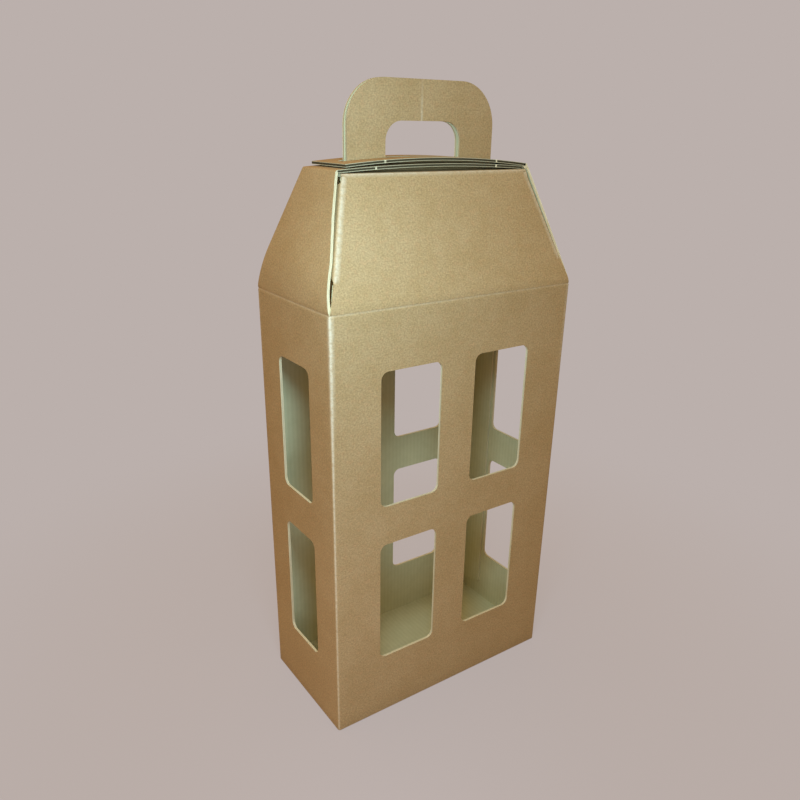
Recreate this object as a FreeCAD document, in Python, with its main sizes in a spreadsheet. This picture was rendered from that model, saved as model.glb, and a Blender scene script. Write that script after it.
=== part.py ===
import FreeCAD, Part

import math
import os

import Sketcher

# A two-bottle gift carrier, die-cut and folded from one sheet of thin corrugated kraft board.
# Frame: +X along the wide front, +Z up, front face at -Y, origin at the middle of the underside.
# Every panel is a bent strip of board seen from its edge, cut to the outline seen from its face.

SIZES = {
    "board": 1.6,
    "box_width": 180.0,
    "box_depth": 90.0,
    "wall_height": 285.0,
    "corner_radius": 1.5,
    # cut-out windows in the walls
    "front_window_width": 44.0,
    "front_window_spacing": 70.0,
    "end_window_width": 38.0,
    "window_height": 87.5,
    "lower_window_middle": 90.5,
    "upper_window_middle": 205.0,
    "window_radius": 5.0,
    # sloping front and back panels
    "roof_angle": 20.5,
    "roof_bend": 15.0,
    "roof_top": 354.3,
    "roof_side_angle": 18.25,
    "roof_side_start": 0.5,
    # bowed end gables
    "gable_angle": 19.8,
    "gable_bend": 78.0,
    "gable_side_angle": 20.2,
    "gable_side_start": 0.5,
    "layer_gap": 0.3,
    # pressed crease at the top of the walls
    "crease_width": 1.2,
    "crease_depth": 0.25,
    # top flaps that lock over the handle
    "lower_flap_rise": 2.3,
    "top_flap_rise": 3.4,
    "top_flap_tip_lift": 1.2,
    "hinge_gap": 0.3,
    "slot_clearance": 0.6,
    "slot_root_clearance": 1.2,
    "lower_slot_clearance": 3.4,
    "flap_end_band": 7.8,
    # carrying handle, one ply from the front and one from the back
    "handle_inset": 37.5,
    "handle_top": 403.0,
    "handle_radius": 25.0,
    "handle_gap": 1.6,
    "hand_hole_width": 54.0,
    "hand_hole_bottom": 360.4,
    "hand_hole_top": 381.0,
    "hand_hole_radius": 11.0,
    "hand_hole_foot_radius": 2.0,
    # tuck flaps folded behind the gables
    "tuck_bottom": 302.0,
    "tuck_top": 350.0,
    "tuck_depth": 17.0,
    "tuck_low_taper": 14.0,
    "tuck_high_taper": 6.0,
    # snap-lock bottom of three layers
    "front_flap_reach": 52.0,
    "front_flap_taper": 9.0,
    "side_flap_gap": 44.0,
    "side_flap_gap_rear": 76.0,
    "back_flap_reach": 64.0,
    # glued seam inside the right end wall
    "seam_width": 22.0,
    "seam_taper": 5.0,
    "seam_margin": 9.0,
}

doc = FreeCAD.newDocument("bottle_carrier")
sheet = doc.addObject("Spreadsheet::Sheet", "Sizes")
for row, (alias, number) in enumerate(SIZES.items(), 1):
    sheet.set("A%d" % row, alias)
    sheet.set("B%d" % row, str(number))
    sheet.setAlias("B%d" % row, alias)
doc.recompute()


class Size:
    """A number together with the expression that gives it from the sheet."""

    def __init__(self, text, number):
        self.text = text
        self.number = number

    def join(self, other, sign, number):
        return Size("(%s %s %s)" % (self.text, sign, other.text), number)

    def __add__(self, other):
        other = as_size(other)
        return self.join(other, "+", self.number + other.number)

    def __sub__(self, other):
        other = as_size(other)
        return self.join(other, "-", self.number - other.number)

    def __mul__(self, other):
        other = as_size(other)
        return self.join(other, "*", self.number * other.number)

    def __truediv__(self, other):
        other = as_size(other)
        return self.join(other, "/", self.number / other.number)

    def __neg__(self):
        return self * -1


def as_size(value):
    return value if isinstance(value, Size) else Size("(%s)" % value, float(value))


def size(alias):
    return Size("Sizes." + alias, float(sheet.get(alias)))


def sine(angle):
    return Size("sin(%s)" % angle.text, math.sin(math.radians(angle.number)))


def cosine(angle):
    return Size("cos(%s)" % angle.text, math.cos(math.radians(angle.number)))


def square_root(value):
    return Size("sqrt(%s)" % value.text, math.sqrt(value.number))


def tangent(angle):
    return Size("tan(%s)" % angle.text, math.tan(math.radians(angle.number)))


# The three sketch planes: level, seen from the front, and seen from the left end.
LEVEL = FreeCAD.Rotation()
FRONT = FreeCAD.Rotation(FreeCAD.Vector(1, 0, 0), 90)
END = FreeCAD.Rotation(FreeCAD.Vector(1, 1, 1), 120)

# The turn of a rounded stretch as the outline is followed.
LEFT = 1
RIGHT = -1


def arc_middle(start, end, radius, turn):
    """The centre of the shorter arc from start to end."""
    chord = end - start
    rise = math.sqrt(max(radius ** 2 - chord.Length ** 2 / 4, 0))
    across = FreeCAD.Vector(-chord.y, chord.x, 0).normalize()
    return (start + end) / 2 + across * rise * turn


def draw(sketch, corners):
    """Adds one closed outline. A corner is (x, y), or (x, y, radius, turn) where an arc starts."""
    points = [FreeCAD.Vector(corner[0].number, corner[1].number, 0) for corner in corners]
    segments = []
    for index, corner in enumerate(corners):
        start = points[index]
        end = points[(index + 1) % len(points)]
        if len(corner) == 2:
            geometry = sketch.addGeometry(Part.LineSegment(start, end))
            segments.append((geometry, 1, 2))
            continue
        radius, turn = corner[2], corner[3]
        middle = arc_middle(start, end, radius.number, turn)
        first, last = (start, end) if turn == LEFT else (end, start)
        circle = Part.Circle(middle, FreeCAD.Vector(0, 0, 1), radius.number)
        arc = Part.ArcOfCircle(circle, circle.parameter(first), circle.parameter(last))
        geometry = sketch.addGeometry(arc)
        segments.append((geometry, 1, 2) if turn == LEFT else (geometry, 2, 1))
        limit(sketch, "Radius", (geometry,), radius)
    for index, (geometry, start, end) in enumerate(segments):
        following, following_start, _ = segments[(index + 1) % len(segments)]
        sketch.addConstraint(Sketcher.Constraint("Coincident", geometry, end, following, following_start))
        limit(sketch, "DistanceX", (-1, 1, geometry, start), corners[index][0])
        limit(sketch, "DistanceY", (-1, 1, geometry, start), corners[index][1])


def limit(sketch, kind, parts, value):
    index = sketch.addConstraint(Sketcher.Constraint(kind, *parts, value.number))
    sketch.setExpression("Constraints[%d]" % index, value.text)


def rounded_box(x_middle, y_middle, width, height, radius):
    """The corners of a rectangle whose four corners have the same radius."""
    left, right = x_middle - width / 2, x_middle + width / 2
    low, high = y_middle - height / 2, y_middle + height / 2
    return [
        (left + radius, low),
        (right - radius, low, radius, LEFT),
        (right, low + radius),
        (right, high - radius, radius, LEFT),
        (right - radius, high),
        (left + radius, high, radius, LEFT),
        (left, high - radius),
        (left, low + radius, radius, LEFT),
    ]


def box(left, low, right, high):
    return [(left, low), (right, low), (right, high), (left, high)]


def solid(name, plane, outlines, thickness, at_level=None):
    """Outlines drawn on one plane and padded: evenly to both sides, or up from a given level."""
    sketch = doc.addObject("Sketcher::SketchObject", name + "_outline")
    sketch.Placement = FreeCAD.Placement(FreeCAD.Vector(), plane)
    for corners in outlines:
        draw(sketch, corners)
    pad = doc.addObject("Part::Extrusion", name)
    pad.Base = sketch
    pad.DirMode = "Normal"
    pad.Solid = True
    pad.Symmetric = at_level is None
    pad.setExpression("LengthFwd", thickness.text)
    if at_level is not None:
        sketch.setExpression("Placement.Base.z", at_level.text)
    return pad


def common(name, first, second):
    feature = doc.addObject("Part::Common", name)
    feature.Base = first
    feature.Tool = second
    return feature


def cut(name, base, tool):
    feature = doc.addObject("Part::Cut", name)
    feature.Base = base
    feature.Tool = tool
    return feature


def mirror(name, source, normal):
    feature = doc.addObject("Part::Mirroring", name)
    feature.Source = source
    feature.Normal = normal
    return feature


def fuse(name, pieces):
    feature = doc.addObject("Part::MultiFuse", name)
    feature.Shapes = pieces
    feature.Refine = True
    return feature


zero = Size("0", 0.0)
board = size("board")
width = size("box_width")
depth = size("box_depth")
wall_height = size("wall_height")
half_width = width / 2
half_depth = depth / 2

# Heights of the three layers that meet at the top: roof shelves, lower flap and top flap.
roof_top = size("roof_top")
lower_flap_top = roof_top + board + size("layer_gap")
hinge_height = lower_flap_top
top_flap_top = hinge_height + board


def bent_panel(half_span, bend, slope, fold_height):
    """The edge view of a panel that bends inward over a wall, from its foot to its top fold.

    Gives the outer foot, the outer and inner bend ends, the inner corner of the top fold and the
    outer start of that fold, for the side at the negative end of the axis."""
    middle = bend - half_span
    inner_bend = bend - board
    outer_end = (middle - bend * cosine(slope), wall_height + bend * sine(slope))
    inner_end = (middle - inner_bend * cosine(slope), wall_height + inner_bend * sine(slope))
    fold = (inner_end[0] + (fold_height - inner_end[1]) * tangent(slope), fold_height)
    fold_start = (fold[0] - board * cosine(slope), fold[1] + board * sine(slope))
    return outer_end, inner_end, fold, fold_start


def trapezoid(half_foot, half_top, top):
    """The face outline of a sloping panel whose sides come in from the top edge of its wall."""
    return [(-half_foot, wall_height), (half_foot, wall_height), (half_top, top), (-half_top, top)]


# The bottom: front flap outermost, side flaps over it, back flap innermost.
floor_thickness = board * 3
inner_half_width = half_width - board
inner_half_depth = half_depth - board


def make_walls():
    radius = size("corner_radius")
    # The rear right corner stays square: there the end wall's cut edge closes the glued seam.
    outline = [
        (-half_width + radius, -half_depth),
        (half_width - radius, -half_depth, radius, LEFT),
        (half_width, -half_depth + radius),
        (half_width, half_depth),
        (-half_width + radius, half_depth, radius, LEFT),
        (-half_width, half_depth - radius),
        (-half_width, -half_depth + radius, radius, LEFT),
    ]
    hollow = box(-inner_half_width, -inner_half_depth, inner_half_width, inner_half_depth)
    tube = solid("wall_tube", LEVEL, [outline, hollow], wall_height, zero)
    windows = []
    for middle in ("lower_window_middle", "upper_window_middle"):
        for side in (-1, 1):
            windows.append(rounded_box(size("front_window_spacing") / 2 * side, size(middle),
                                       size("front_window_width"), size("window_height"),
                                       size("window_radius")))
    front_windows = solid("front_windows", FRONT, windows, depth * 2)
    windows = [rounded_box(zero, size(middle), size("end_window_width"), size("window_height"),
                           size("window_radius"))
               for middle in ("lower_window_middle", "upper_window_middle")]
    end_windows = solid("end_windows", END, windows, width * 2)
    return cut("walls", cut("walls_with_front_windows", tube, front_windows), end_windows)


def make_bottom():
    slab = solid("bottom_layers", LEVEL, [box(-inner_half_width, -inner_half_depth,
                                              inner_half_width, inner_half_depth)],
                 floor_thickness, zero)
    front_edge = size("front_flap_reach") - half_depth
    taper = size("front_flap_taper")
    behind_front_flap = [
        (-inner_half_width, -inner_half_depth),
        (taper - inner_half_width, front_edge),
        (inner_half_width - taper, front_edge),
        (inner_half_width, -inner_half_depth),
        (inner_half_width, inner_half_depth),
        (-inner_half_width, inner_half_depth),
    ]
    outer_recess = solid("behind_front_flap", LEVEL, [behind_front_flap], board, zero)
    near, far = size("side_flap_gap") / 2, size("side_flap_gap_rear") / 2
    between_side_flaps = [(-near, front_edge), (near, front_edge),
                          (far, inner_half_depth), (-far, inner_half_depth)]
    inner_recess = solid("between_side_flaps", LEVEL, [between_side_flaps], board * 2, zero)
    back_edge = half_depth - size("back_flap_reach")
    before_back_flap = box(-inner_half_width, -inner_half_depth, inner_half_width, back_edge)
    top_recess = solid("before_back_flap", LEVEL, [before_back_flap], board, board * 2)
    outer_cut = cut("bottom_outer_layer", slab, outer_recess)
    inner_cut = cut("bottom_middle_layer", outer_cut, inner_recess)
    return cut("bottom", inner_cut, top_recess)


def make_seam():
    """The glue flap of the back wall, stuck to the inside of the right end wall."""
    rear = inner_half_depth
    front = rear - size("seam_width")
    low = floor_thickness + size("seam_margin")
    high = wall_height - size("seam_margin")
    outline = [(rear, low), (rear, high), (front, high - size("seam_taper")),
               (front, low + size("seam_taper"))]
    strip = solid("seam_outline_block", END, [outline], width)
    inner_face = inner_half_width - board
    layer = solid("seam_layer", LEVEL, [box(inner_face, zero, inner_half_width, half_depth)],
                  wall_height, zero)
    return common("seam", strip, layer)


handle_half_gap = size("handle_gap") / 2
handle_half_thickness = handle_half_gap + board
handle_half_width = half_width - size("handle_inset")
side_slope = size("roof_side_angle")
roof_half_foot = half_width - size("roof_side_start")
roof_half_top = roof_half_foot - (roof_top - wall_height) * tangent(side_slope)


def make_roof_half():
    """The front slope, the shelf at its top and its ply of the handle, folded from one panel."""
    bend = size("roof_bend")
    slope = size("roof_angle")
    shelf_underside = roof_top - board
    outer_end, inner_end, fold, fold_start = bent_panel(half_depth, bend, slope, shelf_underside)
    edge_view = [
        (-half_depth, wall_height, bend, RIGHT),
        outer_end,
        (fold_start[0], fold_start[1], board, RIGHT),
        (fold[0], roof_top),
        (-handle_half_thickness, roof_top),
        (-handle_half_thickness, size("handle_top")),
        (-handle_half_gap, size("handle_top")),
        (-handle_half_gap, shelf_underside),
        fold,
        (inner_end[0], inner_end[1], bend - board, LEFT),
        (board - half_depth, wall_height),
    ]
    strip = solid("roof_strip", END, [edge_view], width)
    corner = size("handle_radius")
    top = size("handle_top")
    face_view = [
        (-roof_half_foot, wall_height),
        (roof_half_foot, wall_height),
        (roof_half_top, roof_top),
        (handle_half_width, roof_top),
        (handle_half_width, top - corner, corner, LEFT),
        (handle_half_width - corner, top),
        (corner - handle_half_width, top, corner, LEFT),
        (-handle_half_width, top - corner),
        (-handle_half_width, roof_top),
        (-roof_half_top, roof_top),
    ]
    hole_half = size("hand_hole_width") / 2
    hole_top = size("hand_hole_top")
    hole_bottom = size("hand_hole_bottom")
    hole_corner = size("hand_hole_radius")
    foot = size("hand_hole_foot_radius")
    hole = [
        (foot - hole_half, hole_bottom),
        (hole_half - foot, hole_bottom, foot, LEFT),
        (hole_half, hole_bottom + foot),
        (hole_half, hole_top - hole_corner, hole_corner, LEFT),
        (hole_half - hole_corner, hole_top),
        (hole_corner - hole_half, hole_top, hole_corner, LEFT),
        (-hole_half, hole_top - hole_corner),
        (-hole_half, hole_bottom + foot, foot, LEFT),
    ]
    blank = solid("roof_blank", FRONT, [face_view, hole], depth * 2)
    return common("roof_half", strip, blank)


def roof_side(height):
    """How far from the middle the side edge of a roof panel stands at a height."""
    return roof_half_foot - (height - wall_height) * tangent(side_slope)


def roof_face(height):
    """Where the outer face of the front slope stands at a height above its bend."""
    bend, slope = size("roof_bend"), size("roof_angle")
    outer_end, _, _, _ = bent_panel(half_depth, bend, slope, roof_top - board)
    return outer_end[0] + (height - outer_end[1]) * tangent(slope)


def make_tuck():
    """A tuck flap, folded from the side of the front slope to lie behind the left gable."""
    low, high = size("tuck_bottom"), size("tuck_top")
    reach = size("tuck_depth")
    low_taper, high_taper = low + size("tuck_low_taper"), high - size("tuck_high_taper")
    layer = [(-roof_side(low), low), (board - roof_side(low), low),
             (board - roof_side(high), high), (-roof_side(high), high)]
    strip = solid("tuck_strip", FRONT, [layer], depth)
    outline = [(roof_face(low), low), (roof_face(low_taper) + reach, low_taper),
               (roof_face(high_taper) + reach, high_taper), (roof_face(high), high)]
    blank = solid("tuck_blank", END, [outline], width * 2)
    return common("tuck", strip, blank)


gable_half_foot = half_depth - size("gable_side_start")
gable_side = tangent(size("gable_side_angle"))


def swing_slot_end(root):
    """How far past the middle the top flap's slot runs, so that the flap swings up over the handle.

    The rounded corner of the handle that lies farthest from the flap's root sets it."""
    corner = size("handle_radius")
    across = root[0] * -1 + handle_half_width - corner
    above = size("handle_top") - corner - root[1]
    swing = square_root(across * across + above * above) + corner
    return root[0] + swing + size("slot_clearance")


def flap_bow(root, slot_end, rise, tip_lift):
    """The free end and the radius of a flap that bows up from a root on the left."""
    tip_x = slot_end + size("flap_end_band")
    reach = tip_x - root[0]
    chord_squared = reach * reach + tip_lift * tip_lift
    bow = (chord_squared / 4 + rise * rise) / (rise * 2)
    return (tip_x, root[1] + tip_lift), bow


def make_left_gable():
    """The left end's gable with the lower flap that it carries."""
    outer_end, inner_end, fold, fold_start = bent_panel(
        half_width, size("gable_bend"), size("gable_angle"), lower_flap_top - board)
    slot_end = handle_half_width + size("lower_slot_clearance")
    tip, bow = flap_bow(fold, slot_end, size("lower_flap_rise"), zero)
    edge_view = [
        (-half_width, wall_height, size("gable_bend"), RIGHT),
        outer_end,
        (fold_start[0], fold_start[1], board, RIGHT),
        (fold[0], fold[1] + board, bow, RIGHT),
        (tip[0], tip[1] + board),
        (tip[0], tip[1], bow, LEFT),
        fold,
        (inner_end[0], inner_end[1], size("gable_bend") - board, LEFT),
        (board - half_width, wall_height),
    ]
    strip = solid("left_gable_strip", FRONT, [edge_view], depth)
    half_top = gable_half_foot - (fold[1] - wall_height) * gable_side
    above = fold[1] + board * 4
    outline = [
        (-gable_half_foot, wall_height),
        (gable_half_foot, wall_height),
        (half_top, fold[1]),
        (half_top, above),
        (-half_top, above),
        (-half_top, fold[1]),
    ]
    blank = solid("left_gable_blank", END, [outline], width * 2)
    slot = flap_slot("lower_flap_slot", fold, slot_end, 1)
    return cut("left_gable", common("left_gable_panel", strip, blank), slot), half_top


def flap_slot(name, root, slot_end, side):
    """The slot of a flap whose root is on the left (side 1) or on the right (side -1)."""
    near = -handle_half_width - size("slot_root_clearance")
    half_slot = handle_half_thickness + size("slot_clearance")
    outline = box(near, -half_slot, slot_end, half_slot)
    if side < 0:
        outline = box(-slot_end, -half_slot, -near, half_slot)
    return solid(name, LEVEL, [outline], board * 8, root[1] - board * 2)


def make_right_gable(half_top):
    """The right end's gable, whose top edge is the seat of the rolled crease of the top flap."""
    outer_end, inner_end, hinge, fold_start = bent_panel(
        half_width, size("gable_bend"), size("gable_angle"), hinge_height)
    edge_view = [
        (half_width, wall_height),
        (half_width - board, wall_height, size("gable_bend") - board, LEFT),
        (-inner_end[0], inner_end[1]),
        (-hinge[0], hinge[1]),
        (-fold_start[0], fold_start[1]),
        (-outer_end[0], outer_end[1], size("gable_bend"), RIGHT),
    ]
    strip = solid("right_gable_strip", FRONT, [edge_view], depth)
    outline = trapezoid(gable_half_foot, half_top, hinge_height + board)
    blank = solid("right_gable_blank", END, [outline], width * 2)
    seat = doc.addObject("Part::Cylinder", "crease_seat")
    seat.setExpression("Radius", (board + size("hinge_gap")).text)
    seat.setExpression("Height", depth.text)
    lay_along_depth(seat, hinge, depth)
    return cut("right_gable", common("right_gable_panel", strip, blank), seat), hinge


def lay_along_depth(cylinder, hinge, length):
    """Turns a cylinder to run along Y, centred on the crease line of the right gable."""
    cylinder.Placement = FreeCAD.Placement(FreeCAD.Vector(), FRONT)
    cylinder.setExpression("Placement.Base.x", (-hinge[0]).text)
    cylinder.setExpression("Placement.Base.y", (length / 2).text)
    cylinder.setExpression("Placement.Base.z", hinge[1].text)


def make_top_flap(hinge, half_top):
    """The uppermost flap: a bowed strip with a rolled crease at its root and the handle slot."""
    slot_end = swing_slot_end(hinge)
    tip, bow = flap_bow(hinge, slot_end, size("top_flap_rise"), size("top_flap_tip_lift"))
    edge_view = [
        (-hinge[0], hinge[1] + board, bow, LEFT),
        (-tip[0], tip[1] + board),
        (-tip[0], tip[1], bow, RIGHT),
        (-hinge[0], hinge[1]),
    ]
    strip = solid("top_flap_strip", FRONT, [edge_view], half_top * 2)
    crease = doc.addObject("Part::Cylinder", "rolled_crease")
    crease.setExpression("Radius", board.text)
    crease.setExpression("Height", (half_top * 2).text)
    lay_along_depth(crease, hinge, half_top * 2)
    whole = fuse("top_flap_unslotted", [strip, crease])
    return cut("top_flap", whole, flap_slot("top_flap_slot", hinge, slot_end, -1))


def make_crease_ring():
    """The line pressed into the outside where the slopes and gables bend in from the walls."""
    depth_of_line = size("crease_depth")
    beyond = [box(-half_width - board, -half_depth - board, half_width + board, half_depth + board)]
    within = [box(depth_of_line - half_width, depth_of_line - half_depth,
                  half_width - depth_of_line, half_depth - depth_of_line)]
    width_of_line = size("crease_width")
    return solid("crease_ring", LEVEL, beyond + within, width_of_line, wall_height - width_of_line / 2)


walls = make_walls()
bottom = make_bottom()
seam = make_seam()
front_half = make_roof_half()
back_half = mirror("back_half", front_half, FreeCAD.Vector(0, 1, 0))
tuck_front_left = make_tuck()
tuck_front_right = mirror("tuck_front_right", tuck_front_left, FreeCAD.Vector(1, 0, 0))
tuck_back_left = mirror("tuck_back_left", tuck_front_left, FreeCAD.Vector(0, 1, 0))
tuck_back_right = mirror("tuck_back_right", tuck_front_right, FreeCAD.Vector(0, 1, 0))
left_gable, flap_half_width = make_left_gable()
right_gable, hinge = make_right_gable(flap_half_width)

folded_sheet = fuse("folded_sheet", [
    walls, bottom, seam, front_half, back_half, tuck_front_left, tuck_front_right, tuck_back_left,
    tuck_back_right, left_gable, right_gable])
carton = cut("carton", folded_sheet, make_crease_ring())
top_flap = make_top_flap(hinge, flap_half_width)
doc.recompute()

for item in doc.Objects:
    if "Invalid" in item.State or "Error" in item.State:
        raise RuntimeError("%s could not be built: %s" % (item.Label, item.State))

os.makedirs("parts", exist_ok=True)
for item in (carton, top_flap):
    shape = item.Shape
    if shape.isNull() or not shape.isValid() or len(shape.Solids) != 1:
        raise RuntimeError("%s is not one sound solid" % item.Label)
    shape.exportStep("parts/%s.step" % item.Label)
    print(item.Label, "volume", round(shape.Volume), "box", shape.BoundBox, "faces", len(shape.Faces))
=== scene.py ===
import math

import bmesh
import bpy
import numpy as np
from mathutils import Matrix, Vector, geometry


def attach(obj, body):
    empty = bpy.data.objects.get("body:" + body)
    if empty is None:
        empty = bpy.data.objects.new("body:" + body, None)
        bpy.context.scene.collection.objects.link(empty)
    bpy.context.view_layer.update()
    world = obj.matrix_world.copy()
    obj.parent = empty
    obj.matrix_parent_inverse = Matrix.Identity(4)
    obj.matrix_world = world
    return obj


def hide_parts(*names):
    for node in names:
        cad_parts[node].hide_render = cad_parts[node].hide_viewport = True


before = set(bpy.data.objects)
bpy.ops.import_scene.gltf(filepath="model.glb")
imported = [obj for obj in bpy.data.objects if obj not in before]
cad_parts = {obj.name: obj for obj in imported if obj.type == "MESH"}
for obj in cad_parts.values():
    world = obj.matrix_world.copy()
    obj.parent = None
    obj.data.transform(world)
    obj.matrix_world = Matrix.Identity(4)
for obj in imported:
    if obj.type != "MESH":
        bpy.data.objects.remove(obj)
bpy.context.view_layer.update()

# The carrier is one die-cut sheet of thin corrugated kraft board. Here it is cut flat, as on the die,
# and folded up. Flat places are (across, along): across runs round the four walls, along runs up them.
# Sizes are in millimetres, and only the finished meshes are in metres.
MM = 0.001
BOARD = 1.6
HALF_WIDTH = 90.0
HALF_DEPTH = 45.0
WALL_HEIGHT = 285.0
WALL_FOLD = 1.7
ROOF_SLOPE = 20.5
ROOF_BEND = 15.0
ROOF_TOP = 354.3
ROOF_SIDE_SLOPE = 18.25
ROOF_HALF_FOOT = 89.5
GABLE_SLOPE = 19.8
GABLE_BEND = 78.0
GABLE_SIDE_SLOPE = 20.2
RIGHT_GABLE_SLOPE = 16.925
RIGHT_GABLE_BEND = 20.0
GABLE_HALF_FOOT = 44.5
NEAR_EDGE_DIP = 2.4
LAYER_GAP = 0.3
FLAP_ROOT = ROOF_TOP + LAYER_GAP
HINGE_HEIGHT = FLAP_ROOT + BOARD
LOWER_FLAP_RISE = 2.3
TOP_FLAP_RISE = 3.4
TOP_FLAP_TIP_LIFT = 1.2
SLOT_CLEARANCE = 0.6
SLOT_ROOT_CLEARANCE = 1.2
LOWER_SLOT_CLEARANCE = 3.4
FLAP_END_BAND = 7.8
LOWER_FLAP_NICKS = (-44.0, 43.0)
TOP_FLAP_NICKS = (-43.0, 38.0)
NICK_OUT = 0.35
NICK_HALF_LENGTH = 0.4
NICK_HALF_FOOT = 0.7
HANDLE_HALF_WIDTH = 52.5
HANDLE_TOP = 403.0
HANDLE_CORNER = 25.0
HANDLE_HALF_GAP = 0.8
HANDLE_FACE = HANDLE_HALF_GAP + BOARD
HANDLE_FOLD = 0.3
HANDLE_CREASE = 1.8
HANDLE_CREASE_LENGTH = 24
HAND_HOLE_LOW, HAND_HOLE_HIGH = 360.4, 381.0
HAND_HOLE_HALF_WIDTH = 27.0
HAND_HOLE_LOW_CORNER, HAND_HOLE_HIGH_CORNER = 2, 11
TUCK_LOW, TUCK_HIGH = 302.0, 350.0
TUCK_DEPTH = 17.0
TUCK_LOW_TAPER = 14.0
TUCK_HIGH_TAPER = 6.0
TUCK_FOLD = 1.7
TUCK_EASE = 1.5
WINDOW_HEIGHTS = (90.5, 205.0)
WINDOW_HALF_HEIGHT = 43.75
WINDOW_CORNER = 5
FRONT_WINDOW_OFF = 35.0
FRONT_WINDOW_HALF_WIDTH = 22.0
END_WINDOW_HALF_WIDTH = 19.0
SEAM_WIDTH = 21.9
SEAM_LOW, SEAM_HIGH = 13.8, 276.0
SEAM_TAPER = 5.0
BOTTOM_ROLL = 1.2
CREASE_DEPTH = 0.25
CREASE_HALF_WIDTH = 0.9
CREASE_SEAT = BOARD + 0.3
FLUTE_PITCH = 3.3
RIM_ROWS = 3
GRID = 9.0
FOLD_MARGIN = 2.4

# The points of the roof's walk where its top fold starts and ends and where the handle turns up, and
# the point of the left gable's walk where its top fold starts.
FOLD_START, FOLD_END, HANDLE_TURN = 8, 14, 15
GABLE_FOLD_START = 12

# The material slots of every piece.
OUTSIDE, INSIDE, EDGE = 0, 1, 2


def leaning(angle):
    """The direction of a board that leans inward by an angle, and the direction into the box."""
    return (np.stack([np.sin(angle), np.cos(angle)], -1), np.stack([np.cos(angle), -np.sin(angle)], -1))


class Walk:
    """The outer face of the board seen from its edge, followed with the inside of the box on the right."""

    def __init__(self, start, lean):
        self.lengths = [0.0]
        self.points = [np.array(start, float)]
        self.leans = [math.radians(lean)]

    def step(self, point, lean, length):
        self.points.append(point)
        self.leans.append(lean)
        self.lengths.append(self.lengths[-1] + length)

    def run(self, length):
        ahead, _ = leaning(self.leans[-1])
        self.step(self.points[-1] + ahead * length, self.leans[-1], length)
        return self

    def turn(self, radius, degrees, steps):
        """Turns into the box, or out of it where the angle is negative."""
        side = math.copysign(radius, degrees)
        first = self.leans[-1]
        middle = self.points[-1] + leaning(first)[1] * side
        part = math.radians(degrees) / steps
        for count in range(1, steps + 1):
            lean = first + part * count
            self.step(middle - leaning(lean)[1] * side, lean, radius * abs(part))
        return self

    def end(self):
        return self.lengths[-1]

    def inner_end(self):
        return self.points[-1] + leaning(self.leans[-1])[1] * BOARD

    def at(self, length, depth):
        points = np.array(self.points)
        outer = np.stack([np.interp(length, self.lengths, points[:, axis]) for axis in (0, 1)], -1)
        return outer + leaning(np.interp(length, self.lengths, self.leans))[1] * np.asarray(depth)[..., None]

    def length_at(self, inward):
        """Where along the walk its outer face has come in by a distance, for a walk that keeps going in."""
        return float(np.interp(inward, [point[0] for point in self.points], self.lengths))


def roof_walk():
    walk = Walk((0, 0), 0).run(WALL_HEIGHT).turn(ROOF_BEND, ROOF_SLOPE, 6)
    slope = math.radians(ROOF_SLOPE)
    fold_start = ROOF_TOP - BOARD + BOARD * math.sin(slope)
    walk.run((fold_start - walk.points[-1][1]) / math.cos(slope)).turn(BOARD, 90 - ROOF_SLOPE, 6)
    walk.run(HALF_DEPTH - HANDLE_FACE - HANDLE_FOLD - walk.points[-1][0]).turn(HANDLE_FOLD, -90, 3)
    return walk.run(HANDLE_TOP - walk.points[-1][1])


def gable_walk(fold_height, bend, lean):
    walk = Walk((0, 0), 0).run(WALL_HEIGHT).turn(bend, lean, 10)
    slope = math.radians(lean)
    fold_start = fold_height + BOARD * math.sin(slope)
    return walk.run((fold_start - walk.points[-1][1]) / math.cos(slope))


def swing_reach(root_in, root_height):
    """How far the top flap's slot runs from its root, so that the flap swings up over the handle."""
    across = HALF_WIDTH - root_in + HANDLE_HALF_WIDTH - HANDLE_CORNER
    above = HANDLE_TOP - HANDLE_CORNER - root_height
    return math.hypot(across, above) + HANDLE_CORNER + SLOT_CLEARANCE


def bow_shape(reach, rise, tip_lift):
    """The radius of a flap that bows up and comes down to its free end, half its turn and its slope."""
    chord = math.hypot(reach, tip_lift)
    radius = (chord ** 2 / 4 + rise ** 2) / (rise * 2)
    half_turn = math.degrees(math.asin(chord / 2 / radius))
    return radius, half_turn, math.degrees(math.atan2(tip_lift, reach))


# The walls seen from above, from the cut edge at the rear right corner round to the glued seam.
QUARTER = WALL_FOLD * math.pi / 2
plan = Walk((HALF_WIDTH, HALF_DEPTH), 180).run(HALF_DEPTH * 2 - WALL_FOLD).turn(WALL_FOLD, 90, 6)
plan.run(HALF_WIDTH * 2 - WALL_FOLD * 2).turn(WALL_FOLD, 90, 6)
plan.run(HALF_DEPTH * 2 - WALL_FOLD * 2).turn(WALL_FOLD, 90, 6)
plan.run(HALF_WIDTH * 2 - BOARD - WALL_FOLD * 2).turn(WALL_FOLD, 90, 6)
SEAM_START = plan.end()
plan.run(SEAM_WIDTH)

RIGHT = HALF_DEPTH
FRONT = HALF_DEPTH * 2 - WALL_FOLD + QUARTER + HALF_WIDTH - WALL_FOLD
LEFT = FRONT + HALF_WIDTH - WALL_FOLD + QUARTER + HALF_DEPTH - WALL_FOLD
BACK = LEFT + HALF_DEPTH - WALL_FOLD + QUARTER + HALF_WIDTH - WALL_FOLD
FOLDS = [RIGHT + HALF_DEPTH - WALL_FOLD + QUARTER / 2, FRONT + HALF_WIDTH - WALL_FOLD + QUARTER / 2,
         LEFT + HALF_DEPTH - WALL_FOLD + QUARTER / 2, SEAM_START - QUARTER / 2]

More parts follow.
